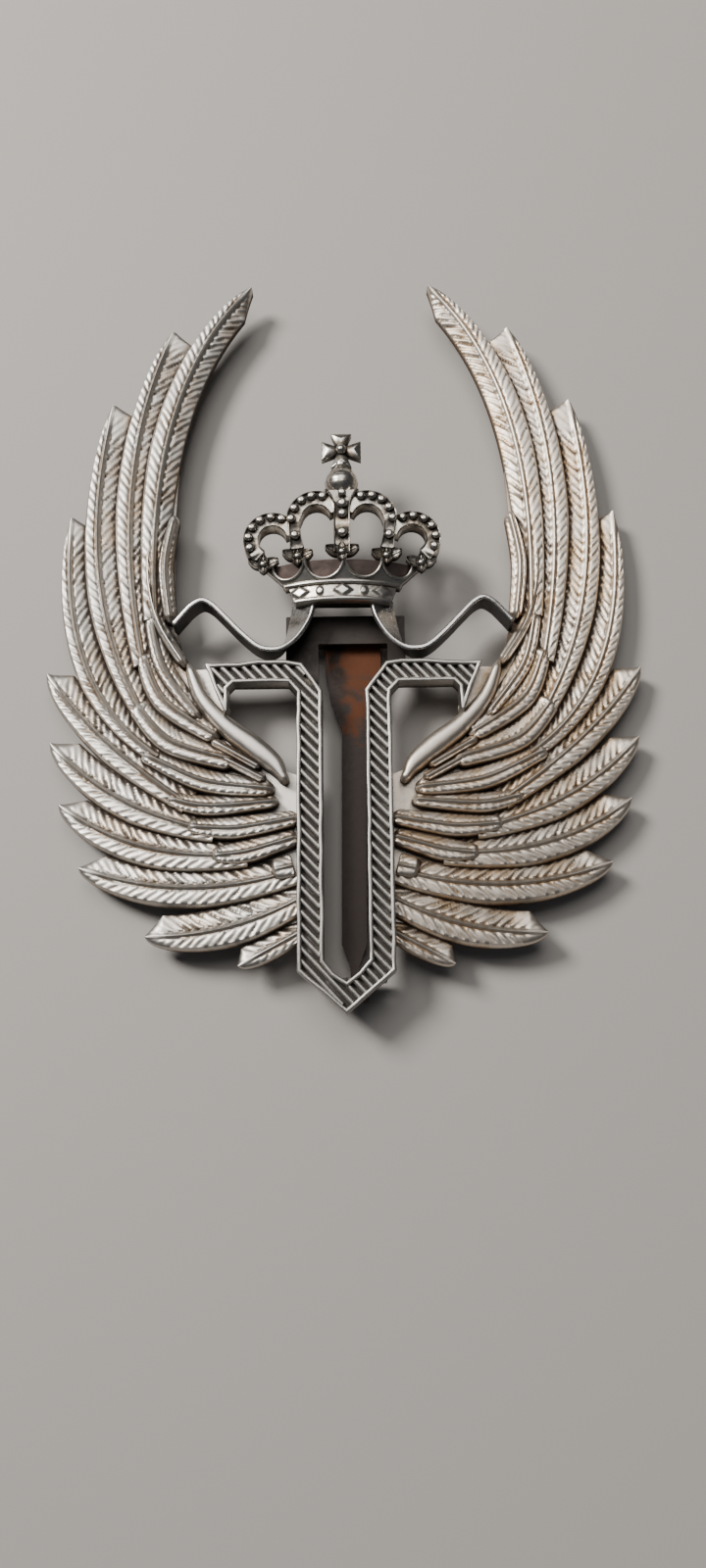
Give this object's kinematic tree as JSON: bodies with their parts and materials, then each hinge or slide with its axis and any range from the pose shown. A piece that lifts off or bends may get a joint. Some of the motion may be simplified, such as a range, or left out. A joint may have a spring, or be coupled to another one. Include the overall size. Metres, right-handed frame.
{
  "type": "pilot wings pin",
  "caption": "Silver aviator wings badge: two upswept feathered wings, an openwork centre frame, an arched crown on wavy ribbons, and a hinged brooch pin with a turning safety catch.",
  "frame": {"origin": "centre of the bounding box on the table that the badge lies on, face up", "axes": "+Z is the face normal, +Y points to the crown and the wing tips, +X is the right-hand side seen from the face"},
  "size_m": [0.057, 0.0739, 0.0084],
  "materials": {
    "wing_silver": "cast silver, engraved feathers, dark patina in the grooves, polished on the edges",
    "frame_silver": "aged silver, hatched channel between polished rims",
    "ribbon_silver": "polished silver strip, dark on its shaded sides",
    "crown_silver": "polished silver pearls and rims with near-black patina in the hollows",
    "crown_lining": "matt brown-mauve patina in the recessed fields",
    "fitting_steel": "oxidised steel, brown to black",
    "pin_steel": "oxidised grey-brown steel, orange-brown near the hinge",
    "catch_ring": "worn steel"
  },
  "bodies": {
    "badge": {"left_wing": "wing_silver", "right_wing": "wing_silver", "centre_frame": "frame_silver", "ribbon_left": "ribbon_silver", "ribbon_right": "ribbon_silver", "crown_circlet": "crown_silver", "crown_lining": "crown_lining", "crown_arch_centre": "crown_silver", "crown_arch_inner_left": "crown_silver", "crown_arch_inner_right": "crown_silver", "crown_arch_outer_left": "crown_silver", "crown_arch_outer_right": "crown_silver", "crown_orb": "crown_silver", "crown_cross": "crown_silver", "hinge_plate": "fitting_steel", "hinge_bracket": "fitting_steel", "hinge_rivet": "fitting_steel", "catch_housing": "fitting_steel"},
    "pin": {"brooch_pin": "pin_steel"},
    "safety_ring": {"catch_ring": "catch_ring"}
  },
  "joints": [
    {"name": "pin_swing", "type": "hinge", "parent": "badge", "child": "pin", "pos_m": [0.0009, -0.0005, 0.00115], "axis": [1, 0, 0], "range_deg": [0, 110]},
    {"name": "catch_turn", "type": "hinge", "parent": "badge", "child": "safety_ring", "pos_m": [0.0007, -0.0349, 0.0014], "axis": [0, 1, 0], "range_deg": [0, 150]}
  ]
}
